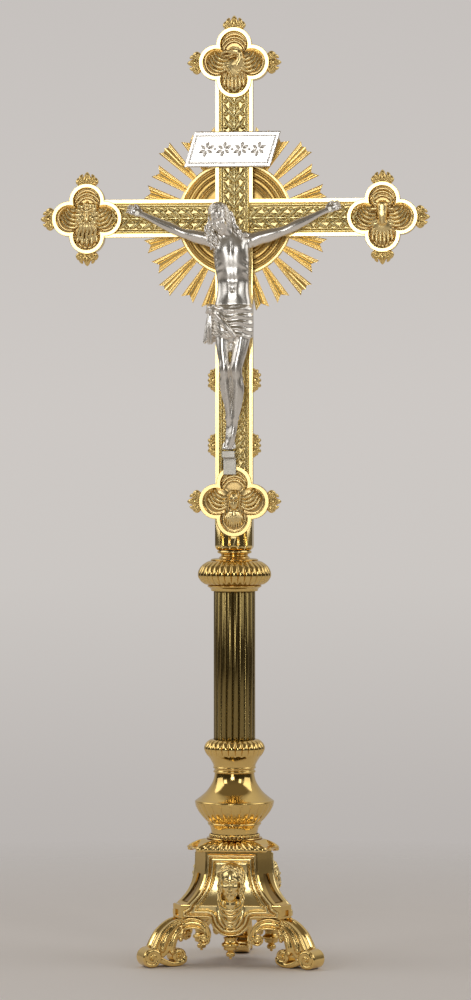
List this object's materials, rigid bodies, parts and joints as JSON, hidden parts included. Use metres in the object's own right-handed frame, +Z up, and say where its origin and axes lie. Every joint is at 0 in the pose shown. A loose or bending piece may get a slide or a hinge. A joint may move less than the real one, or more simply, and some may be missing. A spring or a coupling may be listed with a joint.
{
  "type": "altar cross",
  "caption": "Standing brass altar crucifix with a flared base on scroll legs, reeded column, sunburst, quatrefoil medallions and a silvered figure.",
  "frame": {"origin": "on the surface it stands on, under the axis of the stem", "axes": "+Z up along the stem, -Y out of the front, where the figure is, +X to the right seen from the front"},
  "size_m": [0.3158, 0.1308, 0.762],
  "materials": {
    "brass_polished": "polished and lacquered",
    "brass_cast": "cast relief, bright on the high points and darker in the hollows",
    "silver_plate": "silver plate, polished",
    "silver_dull": "silver plate, satin",
    "steel": "plain turned steel"
  },
  "bodies": {
    "stand": {"base_body": "brass_polished", "base_cap": "brass_polished", "face_panel_front": "brass_cast", "face_panel_right": "brass_cast", "face_panel_left": "brass_cast", "scroll_brackets_front": "brass_polished", "scroll_brackets_right": "brass_polished", "scroll_brackets_left": "brass_polished", "pendant_front": "brass_polished", "pendant_right": "brass_polished", "pendant_left": "brass_polished", "panel_screws": "steel", "leg_right": "brass_cast", "leg_back": "brass_cast", "leg_left": "brass_cast", "leg_bolts": "steel", "cap_ring": "brass_polished", "baluster": "brass_polished", "lower_knop": "brass_polished", "column_tube": "brass_polished", "column_plug_lower": "brass_polished", "column_plug_upper": "brass_polished", "socket_bush": "brass_polished", "upper_knop": "brass_polished", "neck_ring": "brass_polished", "tie_rod": "steel", "tie_washer": "steel", "tie_nut": "steel"},
    "crucifix": {"cross_frame": "brass_polished", "foliage_upper": "brass_cast", "foliage_lower": "brass_cast", "foliage_left": "brass_cast", "foliage_right": "brass_cast", "medallion_top": "brass_polished", "medallion_left": "brass_polished", "medallion_right": "brass_polished", "medallion_bottom": "brass_polished", "relief_eagle": "brass_cast", "relief_lion": "brass_cast", "relief_ox": "brass_cast", "relief_angel": "brass_cast", "crockets_top": "brass_cast", "crockets_left": "brass_cast", "crockets_right": "brass_cast", "crockets_bottom": "brass_cast", "shaft_crockets_left": "brass_cast", "shaft_crockets_right": "brass_cast", "ferrule": "brass_polished", "spigot": "brass_polished", "ferrule_pins": "brass_polished", "corpus": "silver_plate", "corpus_nails": "silver_dull", "foot_rest": "silver_dull", "glory_disc": "brass_cast", "glory_rays": "brass_cast", "glory_screws": "brass_polished", "medallion_screws": "brass_polished", "title_plate": "silver_plate", "title_pins": "brass_polished"}
  },
  "joints": [
    {"name": "crucifix_lift", "type": "slide", "parent": "stand", "child": "crucifix", "axis": [0, 0, 1], "range_m": [0, 0.035]}
  ]
}
